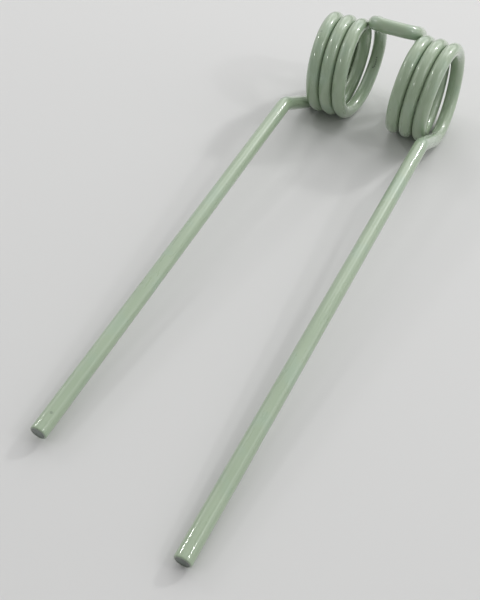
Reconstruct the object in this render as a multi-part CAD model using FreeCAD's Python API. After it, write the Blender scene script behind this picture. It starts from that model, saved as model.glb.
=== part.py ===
import FreeCAD, Part
import math
import os

# Double coil spring tine bent from one length of round spring wire.
#
# Frame: +X along the axis of both coils, towards the right-hand leg.
#        -Y along the two legs, towards their free tips.
#        +Z up; the tine lies at rest on both coils and on the tip of the
#        longer leg, with the shorter leg about 2 mm clear of the ground.
# Origin: centre of the straight bridge rod between the two coils, where the
#        tine is clamped to its carrier.
# The wire runs: left tip, left leg, kink, left coil, bridge, right coil,
# kink, right leg, right tip. Coil angles are measured about the coil axis:
# 0 at the top, 90 at the back, 180 at the bottom, 270 at the front.

os.makedirs("parts", exist_ok=True)
V = FreeCAD.Vector

# ---------------------------------------------------------------- dimensions
wire_d = 10.0                  # spring wire diameter, paint included
tip_edge_radius = 0.7          # eased edge of the sheared leg tips

coil_mean_radius = 31.66       # wire centreline about the coil axis
turn_pitch = 10.12             # close wound: turns stand 0.12 mm apart
first_turn_x = 14.95           # centreline of the innermost turn
coil_start_deg = 34.8          # where the wire comes off the bridge
coil_step_deg = 20.0           # the coil is laid out as pairs of arcs over this angle

bridge_bend_radius = 10.02     # centreline radius of both bridge bends
bridge_straight = 4.95          # straight run between bend and coil

# Small departures of the first and last turn from the even coil, in mm, at
# these angles from the coil's start or back from its end (0 beyond the last).
start_knots_x = [0.0, 45.0, 100.0, 170.0, 280.0]
start_offset_x = [0.79, -0.06, -1.1, 0.04, 0.0]
start_knots_r = [0.0, 45.0, 100.0, 170.0, 280.0]
start_offset_r = [4.53, 6.39, 0.31, -0.34, 0.0]
end_knots_x = [0.0, 60.0, 130.0, 300.0]
end_knots_r = [0.0, 50.0, 110.0, 180.0, 300.0]
coil_end_deg = 1290.6          # where the wire leaves the coil, just past the bottom
end_offset_x = [0.66, 1.4, 0.58, 0.0]
end_offset_r = [0.89, 0.28, 1.37, -0.23, 0.0]

kink_straight = 43.3           # straight run from the coil to the kink
kink_radius = 16.2             # centreline radius of the kink
leg_drop_deg = 4.63            # slope of both legs down to their tips
leg_toe_deg = -0.2            # outward turn of both legs; they lean in by this little
leg_length_right = 326.1       # straight leg, from the kink to the tip
leg_length_left = 299.6        # the other leg is shorter

# ---------------------------------------------------------------- helpers


def unit(v):
    w = V(v)
    w.normalize()
    return w


def pchip(ks, vs, t):
    """Monotone cubic through (ks, vs), so the offsets blend without waves."""
    n = len(ks)
    h = [ks[i + 1] - ks[i] for i in range(n - 1)]
    s = [(vs[i + 1] - vs[i]) / h[i] for i in range(n - 1)]
    m = [0.0] * n
    for i in range(1, n - 1):
        if s[i - 1] * s[i] > 0:
            w1, w2 = 2 * h[i] + h[i - 1], h[i] + 2 * h[i - 1]
            m[i] = (w1 + w2) / (w1 / s[i - 1] + w2 / s[i])

    def edge(h0, h1, s0, s1):
        d = ((2 * h0 + h1) * s0 - h0 * s1) / (h0 + h1)
        if d * s0 <= 0:
            return 0.0
        if s0 * s1 <= 0 and abs(d) > 3 * abs(s0):
            return 3 * s0
        return d

    m[0] = edge(h[0], h[1], s[0], s[1])
    m[-1] = edge(h[-1], h[-2], s[-1], s[-2])
    t = min(max(t, ks[0]), ks[-1])
    i = 0
    while i < n - 2 and t > ks[i + 1]:
        i += 1
    u = (t - ks[i]) / h[i]
    return ((1 + 2 * u) * (1 - u) ** 2 * vs[i] + u * (1 - u) ** 2 * h[i] * m[i]
            + u * u * (3 - 2 * u) * vs[i + 1] + u * u * (u - 1) * h[i] * m[i + 1])


def arc_to(p, t, q):
    """Arc that leaves p along t and passes through q: (start, tangent, centre, axis, angle)."""
    c = q - p
    n = c - t * c.dot(t)
    if n.Length < 1e-9:
        return None
    n = unit(n)
    r = c.Length ** 2 / (2.0 * c.dot(n))
    ctr = p + n * r
    ang = math.atan2(c.dot(t) / r, 1.0 - c.dot(n) / r)
    return ("arc", p, t, ctr, unit(t.cross(n)), ang % (2 * math.pi))


def bend(p, t, u, r):
    """Bend of radius r that leaves p along t and ends along u, and its end."""
    t, u = unit(t), unit(u)
    th = math.acos(max(-1.0, min(1.0, t.dot(u))))
    n = unit(u - t * t.dot(u))
    q = p + n * r + (t * math.sin(th) - n * math.cos(th)) * r
    return arc_to(p, t, q), q


def biarc(p0, t0, p1, t1):
    """Two arcs that join (p0, t0) to (p1, t1) with one common tangent."""
    v = p1 - p0
    k = 2.0 * (1.0 - t0.dot(t1))
    b = v.dot(t0 + t1)
    d = (-b + math.sqrt(b * b + k * v.dot(v))) / k
    m = (p0 + p1 + (t0 - t1) * d) * 0.5
    first = arc_to(p0, t0, m)
    tm = unit((p1 - t1 * d) - (p0 + t0 * d))
    return [first, arc_to(m, tm, p1)]


def coil_point(a_deg):
    """Point of the right-hand coil's centreline (the left one is its mirror)."""
    t, e = a_deg - coil_start_deg, coil_end_deg - a_deg
    x = (first_turn_x + turn_pitch * t / 360.0
         + pchip(start_knots_x, start_offset_x, t) + pchip(end_knots_x, end_offset_x, e))
    r = (coil_mean_radius
         + pchip(start_knots_r, start_offset_r, t) + pchip(end_knots_r, end_offset_r, e))
    a = math.radians(a_deg)
    return V(x, r * math.sin(a), r * math.cos(a))


def tangent(a_deg, sign):
    h = 0.02 * sign
    return unit((coil_point(a_deg + h) - coil_point(a_deg)) * sign)


def half_wire(leg_length):
    """Edges of one half, from the end of the bridge to the leg's tip."""
    a0, a1 = coil_start_deg, coil_end_deg
    n = int(math.ceil((a1 - a0) / coil_step_deg))
    angles = [a0 + (a1 - a0) * i / n for i in range(n + 1)]
    pts = [coil_point(a) for a in angles]
    tans = [tangent(a, -1 if i == n else 1) for i, a in enumerate(angles)]
    edges = []
    # the bridge bend, walked from the bridge to the coil
    p0 = pts[0] - tans[0] * bridge_straight
    _, end = bend(p0, tans[0] * -1, V(-1, 0, 0), bridge_bend_radius)
    edges.append(bend(end, V(1, 0, 0), tans[0], bridge_bend_radius)[0])
    if bridge_straight > 0.01:
        edges.append(("line", p0, pts[0]))
    for i in range(n):
        edges += biarc(pts[i], tans[i], pts[i + 1], tans[i + 1])
    pe = pts[-1] + tans[-1] * kink_straight
    if kink_straight > 0.01:
        edges.append(("line", pts[-1], pe))
    drop, toe = math.radians(leg_drop_deg), math.radians(leg_toe_deg)
    u = V(math.cos(drop) * math.sin(toe), -math.cos(drop) * math.cos(toe), -math.sin(drop))
    kink, root = bend(pe, tans[-1], u, kink_radius)
    edges.append(kink)
    edges.append(("leg", root, root + u * leg_length))
    return end, edges


def moved(e, d, flip):
    """The edge shifted by d, and mirrored in the plane x = 0 if flip is -1."""
    f = lambda q: V(flip * q.x, q.y, q.z)
    if e[0] == "arc":
        _, p, t, ctr, ax, ang = e
        # a mirrored arc turns the other way about its mirrored axis
        return ("arc", f(p + d), f(t), f(ctr + d), f(ax) * flip, ang)
    return (e[0], f(e[1] + d), f(e[2] + d))


def skin(e):
    """Outside of the wire along one edge of the path, with no end faces."""
    r = 0.5 * wire_d
    if e[0] == "arc":
        _, p, t, ctr, ax, ang = e
        ring = Part.makeCircle(r, p, t)
        return ring.revolve(ctr, ax, math.degrees(ang)).Faces
    d = e[2] - e[1]
    if e[0] == "leg":
        rod = Part.makeCylinder(r, d.Length, e[1], d)
        rim = [g for g in rod.Edges if len(g.Vertexes) == 1 and (g.CenterOfMass - e[2]).Length < 1e-6]
        rod = rod.makeFillet(tip_edge_radius, rim)
        return [g for g in rod.Faces if (g.CenterOfMass - e[1]).Length > 1e-6]
    return Part.makeCircle(r, e[1], d).extrude(d).Faces


end, right_edges = half_wire(leg_length_right)
_, left_edges = half_wire(leg_length_left)
to_origin = V(0, -end.y, -end.z)
half = V(end.x, 0, 0)

# The bridge is one straight rod from bend to bend, through the origin.
edges = [("line", half * -1, half)]
edges += [moved(e, to_origin, 1) for e in right_edges]
edges += [moved(e, to_origin, -1) for e in left_edges]

faces = [f for e in edges for f in skin(e)]
shell = Part.makeShell(faces)
shell.sewShape(1e-4)
if shell.ShapeType != "Shell":
    shell = shell.Shells[0]
tine = Part.makeSolid(shell)
if tine.Volume < 0:
    tine.reverse()

tine.exportStep("parts/spring_tine.step")
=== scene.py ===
import math

import bpy
import numpy as np
from mathutils import Matrix, Vector


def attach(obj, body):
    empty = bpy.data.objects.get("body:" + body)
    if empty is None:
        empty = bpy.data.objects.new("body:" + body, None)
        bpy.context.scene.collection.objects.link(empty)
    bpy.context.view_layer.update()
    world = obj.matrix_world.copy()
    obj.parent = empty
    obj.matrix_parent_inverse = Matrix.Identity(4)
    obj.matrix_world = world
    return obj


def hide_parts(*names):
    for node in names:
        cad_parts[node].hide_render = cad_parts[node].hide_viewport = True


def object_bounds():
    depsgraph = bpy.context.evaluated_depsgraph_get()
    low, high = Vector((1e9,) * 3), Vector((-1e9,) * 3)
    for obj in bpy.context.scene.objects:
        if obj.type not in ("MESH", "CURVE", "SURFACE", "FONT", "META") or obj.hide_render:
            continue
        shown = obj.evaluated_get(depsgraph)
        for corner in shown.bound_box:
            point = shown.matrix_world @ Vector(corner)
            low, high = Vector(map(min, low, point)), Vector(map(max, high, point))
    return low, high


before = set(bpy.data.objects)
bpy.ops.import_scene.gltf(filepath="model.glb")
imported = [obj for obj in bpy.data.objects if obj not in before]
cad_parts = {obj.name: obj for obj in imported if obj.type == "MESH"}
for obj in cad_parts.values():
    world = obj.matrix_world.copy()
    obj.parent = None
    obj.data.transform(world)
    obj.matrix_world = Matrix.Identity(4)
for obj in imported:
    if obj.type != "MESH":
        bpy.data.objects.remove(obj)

CAD_BOX = [list(c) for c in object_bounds()]      # the CAD model's box, before anything is added
FLOOR_Z = CAD_BOX[0][2]

# ----------------------------------------------------------------------------
# The wire's path, in millimetres: the same driving sizes as the CAD model.
# ----------------------------------------------------------------------------
WIRE_D = 10.0
COIL_R = 31.66
PITCH = 10.12
FIRST_X = 14.95
A_START = 34.8
A_END = 1290.6
BRIDGE_BEND = 10.02
BRIDGE_RUN = 4.95
SK = [0.0, 45.0, 100.0, 170.0, 280.0]
SX = [0.79, -0.06, -1.1, 0.04, 0.0]
SR = [4.53, 6.39, 0.31, -0.34, 0.0]
EKX = [0.0, 60.0, 130.0, 300.0]
EX = [0.66, 1.4, 0.58, 0.0]
EKR = [0.0, 50.0, 110.0, 180.0, 300.0]
ER = [0.89, 0.28, 1.37, -0.23, 0.0]
KINK_RUN = 43.3
KINK_R = 16.2
DROP, TOE = math.radians(4.63), math.radians(-0.2)
LEG = {1: 326.1, -1: 299.6}


def unit(v):
    v = np.asarray(v, float)
    return v / np.linalg.norm(v)


def pchip(ks, vs, t):
    n = len(ks)
    h = [ks[i + 1] - ks[i] for i in range(n - 1)]
    s = [(vs[i + 1] - vs[i]) / h[i] for i in range(n - 1)]
    m = [0.0] * n
    for i in range(1, n - 1):
        if s[i - 1] * s[i] > 0:
            w1, w2 = 2 * h[i] + h[i - 1], h[i] + 2 * h[i - 1]
            m[i] = (w1 + w2) / (w1 / s[i - 1] + w2 / s[i])

    def edge(h0, h1, s0, s1):
        d = ((2 * h0 + h1) * s0 - h0 * s1) / (h0 + h1)
        if d * s0 <= 0:
            return 0.0
        if s0 * s1 <= 0 and abs(d) > 3 * abs(s0):
            return 3 * s0
        return d

    m[0] = edge(h[0], h[1], s[0], s[1])
    m[-1] = edge(h[-1], h[-2], s[-1], s[-2])
    t = min(max(t, ks[0]), ks[-1])
    i = 0
    while i < n - 2 and t > ks[i + 1]:
        i += 1
    u = (t - ks[i]) / h[i]
    return ((1 + 2 * u) * (1 - u) ** 2 * vs[i] + u * (1 - u) ** 2 * h[i] * m[i]
            + u * u * (3 - 2 * u) * vs[i + 1] + u * u * (u - 1) * h[i] * m[i + 1])


def coil_point(a):
    t, e = a - A_START, A_END - a
    x = FIRST_X + PITCH * t / 360.0 + pchip(SK, SX, t) + pchip(EKX, EX, e)
    r = COIL_R + pchip(SK, SR, t) + pchip(EKR, ER, e)
    q = math.radians(a)
    return np.array([x, r * math.sin(q), r * math.cos(q)])


def bend_points(p, t, u, r, n):
    """Points of a bend that leaves p along t and ends along u (p left out)."""
    th = math.acos(max(-1.0, min(1.0, float(t @ u))))
    nn = unit(u - t * (t @ u))
    c = p + nn * r
    return [c + (t * math.sin(a) - nn * math.cos(a)) * r for a in np.linspace(0, th, n + 1)[1:]]


def half_path(leg, step=2.5):
    """Centreline of one half (x > 0), from the middle of the bridge to the tip."""
    n = int(round((A_END - A_START) / step))
    angs = np.linspace(A_START, A_END, n + 1)
    coil = [coil_point(a) for a in angs]
    t0 = unit(coil_point(A_START + 0.02) - coil[0])
    t1 = unit(coil[-1] - coil_point(A_END - 0.02))
    ex = np.array([1.0, 0, 0])
    p0 = coil[0] - t0 * BRIDGE_RUN
    back = bend_points(p0, -t0, -ex, BRIDGE_BEND, 16)
    end = back[-1]
    pts = [np.array([x, end[1], end[2]]) for x in np.linspace(0.0, end[0], 5)[:-1]]
    pts += back[::-1] + [p0 + t0 * BRIDGE_RUN * k for k in (0.0, 0.33, 0.67)]
    pts += coil
    pts += [coil[-1] + t1 * KINK_RUN * k for k in np.linspace(0, 1, 15)[1:]]
    u = np.array([math.cos(DROP) * math.sin(TOE), -math.cos(DROP) * math.cos(TOE), -math.sin(DROP)])
    pts += bend_points(pts[-1], t1, u, KINK_R, 26)
    root = pts[-1]
    pts += [root + u * leg * k for k in np.linspace(0, 1, 131)[1:]]
    pts = np.array(pts)
    pts[:, 1] -= end[1]
    pts[:, 2] -= end[2]
    return pts, -end[1], -end[2]


# ----------------------------------------------------------------------------
# The tine: one tube swept along the path, as a single closed mesh.
# ----------------------------------------------------------------------------
SEG = 48                        # vertices round the wire
SKIN = 0.5 * WIRE_D - 0.012     # stays just inside the CAD wire
RIM = 0.85                      # eased edge of the sheared ends


def lengths(p):
    return np.concatenate([[0.0], np.cumsum(np.linalg.norm(np.diff(p, axis=0), axis=1))])


def frames(p):
    """Tangents and a twist-free pair of normals along a path that starts at the bridge."""
    t = np.gradient(p, axis=0)
    t[0] = (1.0, 0.0, 0.0)
    t /= np.linalg.norm(t, axis=1)[:, None]
    n = np.zeros_like(t)
    n[0] = (0.0, 0.0, 1.0)
    for i in range(1, len(p)):
        v = n[i - 1] - t[i] * (n[i - 1] @ t[i])
        n[i] = v / np.linalg.norm(v)
    return t, n, np.cross(t, n)


def curvature(p, t):
    s = lengths(p)
    k = np.gradient(t, axis=0) / np.gradient(s)[:, None]
    return k


def half_rings(leg):
    """Rings of one half from the bridge's middle to the tip, then the end face's rings."""
    p, _, _ = half_path(leg)
    t, n, b = frames(p)
    s = lengths(p)
    k = curvature(p, t)
    phi = np.linspace(0.0, 2.0 * math.pi, SEG, endpoint=False)
    c, d = np.cos(phi), np.sin(phi)
    total = s[-1]
    rings, info = [], []
    for i in range(len(p)):
        back = total - s[i]
        if back < RIM:
            continue
        out = c[:, None] * n[i] + d[:, None] * b[i]
        # bending leaves the wire a little flatter on the inside of each tight bend
        kn = np.linalg.norm(k[i])
        r = np.full(SEG, SKIN)
        if kn > 0.045:
            inside = out @ (k[i] / kn)
            r = r - 0.10 * min(1.0, (kn - 0.045) / 0.02) * np.clip(inside, 0.0, 1.0) ** 2
        # the drawn wire is never perfectly round or straight-skinned
        r = r - 0.018 * (1.0 + np.sin(2.0 * phi + 0.011 * s[i])) * 0.5
        rings.append(p[i] + out * r[:, None])
        info.append((s[i], 0.0))
    tip, u = p[-1], t[-1]
    out = c[:, None] * n[-1] + d[:, None] * b[-1]
    for a in np.linspace(0.0, 0.5 * math.pi, 6):
        q = tip - u * RIM * (1.0 - math.sin(a))
        rings.append(q + out * (SKIN - RIM * (1.0 - math.cos(a))))
        info.append((total - RIM * (1.0 - math.sin(a)), 0.25 * a / (0.5 * math.pi)))
    # the sheared end is not quite flat: a shallow step where the cut broke through
    r_in = SKIN - RIM
    tilt = n[-1] * 0.35 - b[-1] * 0.94
    for f in (0.93, 0.82, 0.68, 0.52, 0.35, 0.18):
        at = tip + out * (r_in * f)
        across = (out @ tilt) * f
        dish = 0.10 * (1.0 - f) ** 0.7 + 0.11 / (1.0 + np.exp(-(across - 0.12) * 16.0)) * min(1.0, (1 - f) * 8.0)
        rings.append(at - u * dish[:, None])
        info.append((total, 0.6 + 0.4 * (1.0 - f)))
    rings = np.array(rings)
    centre = rings[-1].mean(axis=0)
    return rings, np.array(info), centre


def build_tine():
    right, ri, rc = half_rings(LEG[1])
    left, li, lc = half_rings(LEG[-1])
    left = left * np.array([-1.0, 1.0, 1.0])
    lc = lc * np.array([-1.0, 1.0, 1.0])
    rings = np.concatenate([left[::-1], right[1:]])
    info = np.concatenate([np.stack([-li[::-1, 0], li[::-1, 1]], 1), ri[1:]])
    m = len(rings)
    verts = np.concatenate([rings.reshape(-1, 3), lc[None], rc[None]]) * 0.001
    i = np.arange(m - 1)[:, None] * SEG
    j = np.arange(SEG)[None, :]
    j2 = (j + 1) % SEG
    quads = np.stack([i + j, i + j2, i + SEG + j2, i + SEG + j], axis=2).reshape(-1, 4)
    faces = [tuple(int(v) for v in q) for q in quads]
    nl, nr = m * SEG, m * SEG + 1
    last = (m - 1) * SEG
    for q in range(SEG):
        q2 = (q + 1) % SEG
        faces.append((nl, q2, q))
        faces.append((nr, last + q, last + q2))
    mesh = bpy.data.meshes.new("tine_wire")
    mesh.from_pydata([tuple(v) for v in verts], [], faces)
    mesh.update()
    mesh.polygons.foreach_set("use_smooth", [True] * len(mesh.polygons))
    # how far along the wire each point is, the direction round it, and how much of an end face it is
    phi = np.linspace(0.0, 2.0 * math.pi, SEG, endpoint=False)
    along = np.repeat(info[:, 0] * 0.001, SEG)
    face = np.repeat(info[:, 1], SEG)
    along = np.concatenate([along, [info[0, 0] * 0.001, info[-1, 0] * 0.001]])
    face = np.concatenate([face, [1.0, 1.0]])
    cosp = np.concatenate([np.tile(np.cos(phi), m), [0.0, 0.0]])
    sinp = np.concatenate([np.tile(np.sin(phi), m), [0.0, 0.0]])
    wire = mesh.attributes.new("wire", "FLOAT_VECTOR", "POINT")
    wire.data.foreach_set("vector", np.stack([along, cosp * 0.005, sinp * 0.005], 1).astype(np.float32).ravel())
    end = mesh.attributes.new("end_face", "FLOAT", "POINT")
    end.data.foreach_set("value", face.astype(np.float32))
    uv = mesh.uv_layers.new(name="UVMap")
    loops = np.zeros(len(mesh.loops), dtype=np.int32)
    mesh.loops.foreach_get("vertex_index", loops)
    s_all = along[loops]
    p_all = np.concatenate([np.tile(phi, m), [0.0, 0.0]])[loops]
    # close the seam: a face that spans it uses 2 pi instead of 0
    starts = np.zeros(len(mesh.polygons), dtype=np.int32)
    totals = np.zeros(len(mesh.polygons), dtype=np.int32)
    mesh.polygons.foreach_get("loop_start", starts)
    mesh.polygons.foreach_get("loop_total", totals)
    for a, k in zip(starts, totals):
        seg = p_all[a:a + k]
        if seg.max() - seg.min() > math.pi:
            seg[seg < math.pi] += 2.0 * math.pi
    uv.data.foreach_set("uv", np.stack([s_all, p_all * 0.005], 1).astype(np.float32).ravel())
    obj = bpy.data.objects.new("tine_wire", mesh)
    bpy.context.scene.collection.objects.link(obj)
    return obj


tine = build_tine()


# ----------------------------------------------------------------------------
# Light settings: four small lamps give the round glints, a ring of soft boxes
# (azimuth, elevation, side in metres, watts) the even light round them.
# ----------------------------------------------------------------------------
AIM = (0.0, -0.02, -0.04)
FAR = 1.9
BULBS = [
    ("lamp_back", (1.02, 1.86, 1.52), 0.13, 50.0),
    ("lamp_left", (-1.62, 0.18, 0.95), 0.070, 9.0),
    ("lamp_right", (0.97, -0.08, 0.78), 0.050, 5.0),
    ("lamp_front", (-0.64, -0.79, 0.62), 0.045, 2.8),
]
SOFT = [
    ("soft_top", 180.0, 72.0, 1.8, 7.5),
    ("soft_front_right", 70.0, 45.0, 1.7, 2.1),
    ("soft_right", 98.0, 24.0, 1.5, 5.2),
    ("soft_back_right", 138.0, 32.0, 1.8, 6.5),
    ("soft_back", 180.0, 36.0, 1.8, 7.9),
    ("soft_back_left", 222.0, 32.0, 1.8, 5.7),
    ("soft_left", 272.0, 34.0, 1.6, 4.2),
]
SKY = 0.32
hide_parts("spring_tine")
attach(tine, "root")


# ----------------------------------------------------------------------------
# Paint: glossy pale grey-green enamel over round spring wire.
# ----------------------------------------------------------------------------
class Nodes:
    """Small helper that adds and links shader nodes."""

    def __init__(self, tree):
        self.tree = tree

    def add(self, kind, **values):
        n = self.tree.nodes.new(kind)
        for k, v in values.items():
            setattr(n, k, v)
        return n

    def put(self, socket, value):
        if isinstance(value, bpy.types.NodeSocket):
            self.tree.links.new(value, socket)
        else:
            socket.default_value = value

    def math(self, op, a, b=None, c=None, clamp=False):
        n = self.add("ShaderNodeMath", operation=op, use_clamp=clamp)
        for s, v in zip(n.inputs, (a, b, c)):
            if v is not None:
                self.put(s, v)
        return n.outputs[0]

    def vmath(self, op, a, b=None, out=0):
        n = self.add("ShaderNodeVectorMath", operation=op)
        self.put(n.inputs[0], a)
        if b is not None:
            self.put(n.inputs[1], b)
        return n.outputs[out]

    def scaled(self, vec, by):
        n = self.add("ShaderNodeVectorMath", operation="MULTIPLY")
        self.put(n.inputs[0], vec)
        self.put(n.inputs[1], by)
        return n.outputs[0]

    def noise(self, vec, scale, detail=2.0, rough=0.5, dist=0.0):
        n = self.add("ShaderNodeTexNoise", noise_dimensions="3D")
        self.put(n.inputs["Vector"], vec)
        n.inputs["Scale"].default_value = scale
        n.inputs["Detail"].default_value = detail
        n.inputs["Roughness"].default_value = rough
        n.inputs["Distortion"].default_value = dist
        return n.outputs["Fac"]

    def voronoi(self, vec, scale, rand=1.0, feature="F1"):
        n = self.add("ShaderNodeTexVoronoi", feature=feature)
        self.put(n.inputs["Vector"], vec)
        n.inputs["Scale"].default_value = scale
        n.inputs["Randomness"].default_value = rand
        return n

    def ramp(self, fac, lo, hi, to_lo=0.0, to_hi=1.0, smooth=True):
        n = self.add("ShaderNodeMapRange", interpolation_type="SMOOTHSTEP" if smooth else "LINEAR")
        self.put(n.inputs["Value"], fac)
        n.inputs["From Min"].default_value = lo
        n.inputs["From Max"].default_value = hi
        n.inputs["To Min"].default_value = to_lo
        n.inputs["To Max"].default_value = to_hi
        return n.outputs["Result"]

    def mix(self, fac, a, b, mode="MIX"):
        n = self.add("ShaderNodeMix", data_type="RGBA", blend_type=mode)
        self.put(n.inputs[0], fac)
        self.put(n.inputs[6], a)
        self.put(n.inputs[7], b)
        return n.outputs[2]


def enamel():
    mat = bpy.data.materials.new("painted_spring_steel")
    mat.use_nodes = True
    t = mat.node_tree
    t.nodes.clear()
    k = Nodes(t)
    out = k.add("ShaderNodeOutputMaterial")
    bsdf = k.add("ShaderNodeBsdfPrincipled")
    t.links.new(bsdf.outputs[0], out.inputs[0])
    at = k.add("ShaderNodeTexCoord").outputs["Object"]
    wire = k.add("ShaderNodeAttribute", attribute_name="wire").outputs["Vector"]
    end = k.add("ShaderNodeAttribute", attribute_name="end_face").outputs["Fac"]

    base = PAINT
    deep = tuple(c * f for c, f in zip(base[:3], (0.80, 0.84, 0.82))) + (1.0,)
    pale = tuple(min(1.0, c * f) for c, f in zip(base[:3], (1.07, 1.05, 1.08))) + (1.0,)

    # broad cloudiness of a dipped coat, and finer mottle along the wire
    cloud = k.noise(at, 32.0, 3.0, 0.55)
    mottle = k.noise(k.scaled(wire, (60.0, 420.0, 420.0)), 1.0, 4.0, 0.6, 0.3)
    col = k.mix(k.ramp(cloud, 0.32, 0.70), deep, pale)
    col = k.mix(0.72, col, base)
    col = k.mix(k.ramp(mottle, 0.30, 0.75, 0.0, 0.10), col, deep)
    # a slightly cooler, bluer cast in patches
    cast = k.noise(k.vmath("ADD", at, (3.1, 1.7, 0.4)), 55.0, 2.0, 0.5)
    cool = (base[0] * 0.93, base[1] * 0.985, base[2] * 1.06, 1.0)
    col = k.mix(k.ramp(cast, 0.48, 0.68, 0.0, 0.55), col, cool)

    # dust nibs and pinholes caught in the coat
    nib = k.voronoi(at, 150.0)
    sep = k.add("ShaderNodeSeparateColor")
    t.links.new(nib.outputs["Color"], sep.inputs[0])
    rare = k.ramp(sep.outputs[0], 0.80, 0.83)
    dot = k.math("MULTIPLY", k.ramp(nib.outputs["Distance"], 0.050, 0.105, 1.0, 0.0), rare)
    col = k.mix(k.math("MULTIPLY", dot, 0.45), col, (0.16, 0.18, 0.14, 1.0))

    # rub marks and small chips, long along the wire
    rub = k.noise(k.scaled(wire, (34.0, 900.0, 900.0)), 1.0, 5.0, 0.65)
    where = k.noise(k.vmath("ADD", at, (0.7, 5.2, 2.2)), 21.0, 1.0, 0.5)
    scuff = k.math("MULTIPLY", k.ramp(rub, 0.66, 0.74), k.ramp(where, 0.56, 0.66))
    col = k.mix(k.math("MULTIPLY", scuff, 0.30), col, (0.20, 0.23, 0.19, 1.0))

    # small dark marks at listed points, each slightly sunk in the relief
    spots = None
    for (x, y, z), size, depth in MARKS:
        d = k.vmath("DISTANCE", at, (x, y, z), out=1)
        n = k.noise(at, 900.0, 2.0, 0.6)
        edge = k.math("ADD", d, k.math("MULTIPLY", k.math("SUBTRACT", n, 0.5), size * 1.1))
        m = k.ramp(edge, size * 0.35, size, depth, 0.0)
        spots = m if spots is None else k.math("MAXIMUM", spots, m)
    if spots is not None:
        col = k.mix(spots, col, (0.055, 0.075, 0.060, 1.0))

    # the sheared ends: thin paint over dark steel, with a heavier bead at the rim
    grain = k.noise(k.scaled(at, (1500.0, 1500.0, 260.0)), 1.0, 3.0, 0.6)
    face = k.ramp(end, 0.50, 0.60)
    steel = k.mix(k.ramp(grain, 0.35, 0.70), (0.016, 0.034, 0.025, 1.0), (0.046, 0.095, 0.070, 1.0))
    steel = k.mix(k.ramp(end, 0.62, 0.85), (0.022, 0.032, 0.026, 1.0), steel)
    col = k.mix(k.math("MULTIPLY", face, 0.90), col, steel)
    rim = k.ramp(end, 0.05, 0.24)
    col = k.mix(k.math("MULTIPLY", k.math("MULTIPLY", rim, k.math("SUBTRACT", 1.0, face)), 0.55), col, (0.085, 0.110, 0.090, 1.0))
    t.links.new(col, bsdf.inputs["Base Color"])

    # gloss: hard shiny enamel, a touch duller where it is rubbed or speckled
    smear = k.noise(k.scaled(wire, (45.0, 250.0, 250.0)), 1.0, 3.0, 0.6)
    rough = k.ramp(smear, 0.30, 0.75, ROUGH[0], ROUGH[1])
    rough = k.math("ADD", rough, k.math("MULTIPLY", scuff, 0.18))
    rough = k.math("ADD", rough, k.math("MULTIPLY", face, 0.22))
    rough = k.math("ADD", rough, k.math("MULTIPLY", dot, 0.12), clamp=True)
    t.links.new(rough, bsdf.inputs["Roughness"])
    bsdf.inputs["IOR"].default_value = 1.5
    bsdf.inputs["Coat Weight"].default_value = COAT[0]
    bsdf.inputs["Coat Roughness"].default_value = COAT[1]
    bsdf.inputs["Coat IOR"].default_value = 1.5

    # relief: orange peel, brush-soft waves along the wire, nibs, chips, shear marks
    peel = k.noise(at, 620.0, 2.0, 0.5)
    wave = k.noise(k.scaled(wire, (90.0, 130.0, 130.0)), 1.0, 2.0, 0.5)
    drawn = k.noise(k.scaled(wire, (8.0, 1400.0, 1400.0)), 1.0, 2.0, 0.5)
    high = k.math("MULTIPLY", peel, 0.000006)
    high = k.math("ADD", high, k.math("MULTIPLY", wave, 0.000014))
    high = k.math("ADD", high, k.math("MULTIPLY", drawn, 0.0000014))
    high = k.math("ADD", high, k.math("MULTIPLY", dot, 0.00005))
    high = k.math("SUBTRACT", high, k.math("MULTIPLY", scuff, 0.00003))
    high = k.math("ADD", high, k.math("MULTIPLY", k.math("MULTIPLY", grain, face), 0.00009))
    if spots is not None:
        high = k.math("SUBTRACT", high, k.math("MULTIPLY", spots, 0.00006))
    bump = k.add("ShaderNodeBump")
    bump.inputs["Strength"].default_value = 1.0
    bump.inputs["Distance"].default_value = 1.0
    t.links.new(high, bump.inputs["Height"])
    t.links.new(bump.outputs[0], bsdf.inputs["Normal"])
    t.links.new(bump.outputs[0], bsdf.inputs["Coat Normal"])
    return mat


PAINT = (0.335, 0.425, 0.292, 1.0)
ROUGH = (0.26, 0.36)
COAT = (1.0, 0.05)
MARKS = [
    ((-0.04879, -0.35832, -0.06033), 0.0012, 0.42),
    ((-0.04498, -0.02339, -0.00350), 0.0011, 0.38),
    ((-0.01500, 0.02412, -0.04021), 0.0009, 0.72),
    ((-0.01478, 0.02349, -0.04173), 0.0009, 0.72),
    ((-0.01461, 0.02276, -0.04320), 0.0009, 0.72),
    ((-0.01456, 0.02188, -0.04464), 0.0009, 0.72),
    ((-0.01479, 0.02085, -0.04599), 0.0009, 0.72),
    ((-0.01545, 0.02006, -0.04674), 0.0009, 0.72),
]
tine.data.materials.append(enamel())


# ----------------------------------------------------------------------------
# Floor, lights and camera
# ----------------------------------------------------------------------------
def floor():
    size = 30.0
    me = bpy.data.meshes.new("floor")
    me.from_pydata([(-size, -size, FLOOR_Z), (size, -size, FLOOR_Z), (size, size, FLOOR_Z), (-size, size, FLOOR_Z)],
                   [], [(0, 1, 2, 3)])
    o = bpy.data.objects.new("floor", me)
    bpy.context.scene.collection.objects.link(o)
    m = bpy.data.materials.new("floor_paper")
    m.use_nodes = True
    b = m.node_tree.nodes["Principled BSDF"]
    b.inputs["Base Color"].default_value = FLOOR
    b.inputs["Roughness"].default_value = 1.0
    b.inputs["Specular IOR Level"].default_value = 0.0
    me.materials.append(m)
    return o


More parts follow.
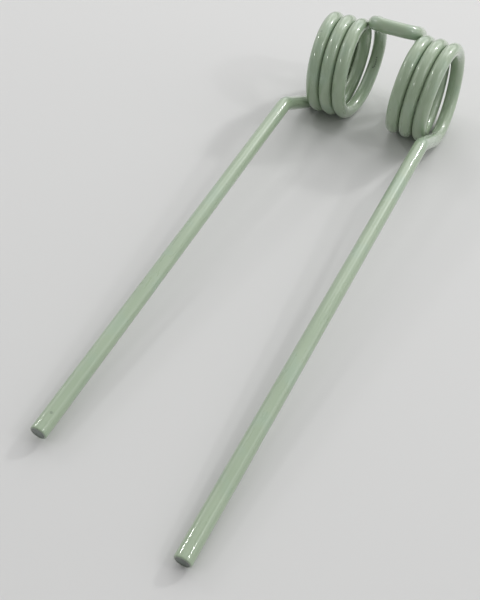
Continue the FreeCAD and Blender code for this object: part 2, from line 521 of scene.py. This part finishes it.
def aim(o, target):
    d = Vector(target) - o.location
    o.rotation_mode = "QUATERNION"
    o.rotation_quaternion = d.to_track_quat("-Z", "Y")


def softbox(name, at, size, power, colour=(1.0, 1.0, 1.0), target=(0.0, -0.12, -0.03)):
    d = bpy.data.lights.new(name, "AREA")
    d.shape = "RECTANGLE"
    d.size, d.size_y = size
    d.energy = power
    d.color = colour
    o = bpy.data.objects.new(name, d)
    bpy.context.scene.collection.objects.link(o)
    o.location = at
    aim(o, target)
    return o


def bulb(name, at, radius, power, colour=(1.0, 1.0, 1.0)):
    d = bpy.data.lights.new(name, "POINT")
    d.shadow_soft_size = radius
    d.energy = power
    d.color = colour
    o = bpy.data.objects.new(name, d)
    bpy.context.scene.collection.objects.link(o)
    o.location = at
    return o


FLOOR = (0.66, 0.66, 0.655, 1.0)
floor()
for name, az, el, size, power in SOFT:
    a, e = math.radians(az), math.radians(el)
    at = (AIM[0] + FAR * math.cos(e) * math.sin(a), AIM[1] - FAR * math.cos(e) * math.cos(a), AIM[2] + FAR * math.sin(e))
    softbox(name, at, (size, size), power, (1.0, 1.0, 1.0), AIM)
for row in BULBS:
    bulb(*row)

world = bpy.data.worlds.new("studio")
world.use_nodes = True
world.node_tree.nodes["Background"].inputs[0].default_value = (1.0, 1.0, 1.0, 1.0)
world.node_tree.nodes["Background"].inputs[1].default_value = SKY
bpy.context.scene.world = world

cam_data = bpy.data.cameras.new("camera")
cam_data.sensor_width = 36.0
cam_data.lens = 51.137
cam_data.clip_start, cam_data.clip_end = 0.01, 50.0
cam = bpy.data.objects.new("camera", cam_data)
bpy.context.scene.collection.objects.link(cam)
right = Vector((0.89198328, 0.45115819, 0.02867261))
down = Vector((0.3438736, -0.63596424, -0.69086933))
ahead = Vector((-0.2934566, 0.62610364, -0.72241086))
m = Matrix.Identity(4)
for i in range(3):
    m[i][0], m[i][1], m[i][2] = right[i], -down[i], -ahead[i]
m.translation = Vector((0.14828616, -0.55408587, 0.30251646))
cam.matrix_world = m
bpy.context.scene.camera = cam

bpy.context.scene.view_settings.view_transform = "Standard"
bpy.context.scene.view_settings.look = "None"
